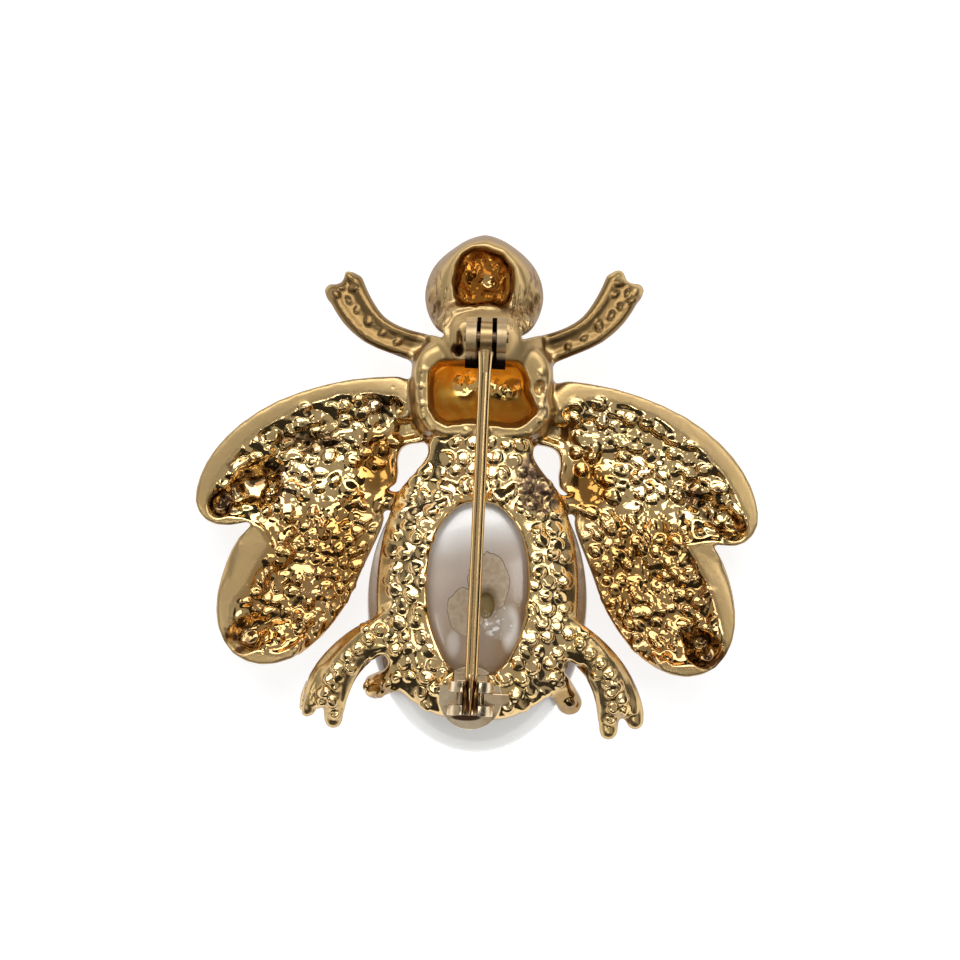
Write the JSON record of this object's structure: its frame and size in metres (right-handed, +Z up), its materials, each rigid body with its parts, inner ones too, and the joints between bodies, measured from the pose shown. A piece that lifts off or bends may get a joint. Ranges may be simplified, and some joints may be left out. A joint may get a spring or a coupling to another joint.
{
  "type": "insect brooch",
  "caption": "Cast gold-tone insect brooch lying face down: dished wings, beaded frame round an oval pearl abdomen, hinged pin and roller safety catch on its back.",
  "frame": {"origin": "on the surface that the brooch lies on, under the middle of its overall length and on the middle line of its body", "axes": "+Z up from the front to the back where the pin is, +Y along the body towards the head, +X to the right as seen from the back"},
  "size_m": [0.0469, 0.043, 0.0142],
  "materials": {
    "gold_plate": "polished gold plate on cast metal, warm in the hollows, tarnished at the waist",
    "pearl": "pearlescent coat, worn through round its old drilled hole",
    "findings": "polished, a little greyer than the casting",
    "pin_wire": "polished gold plate"
  },
  "bodies": {
    "brooch": {"casting": "gold_plate", "pearl": "pearl", "hinge_bracket": "findings", "hinge_rivet": "findings", "catch_base": "findings"},
    "pin": {"pin_stem": "pin_wire"},
    "lock": {"catch_roller": "pin_wire"}
  },
  "joints": [
    {"name": "pin_hinge", "type": "hinge", "parent": "brooch", "child": "pin", "pos_m": [0.00025, 0.01295, 0.0124], "axis": [-0.9998, 0.0216, 0], "range_deg": [0, 100]},
    {"name": "catch_lock", "type": "hinge", "parent": "brooch", "child": "lock", "pos_m": [-0.0004, -0.01684, 0.0124], "axis": [-0.0216, -0.9998, 0], "range_deg": [0, 150]}
  ]
}
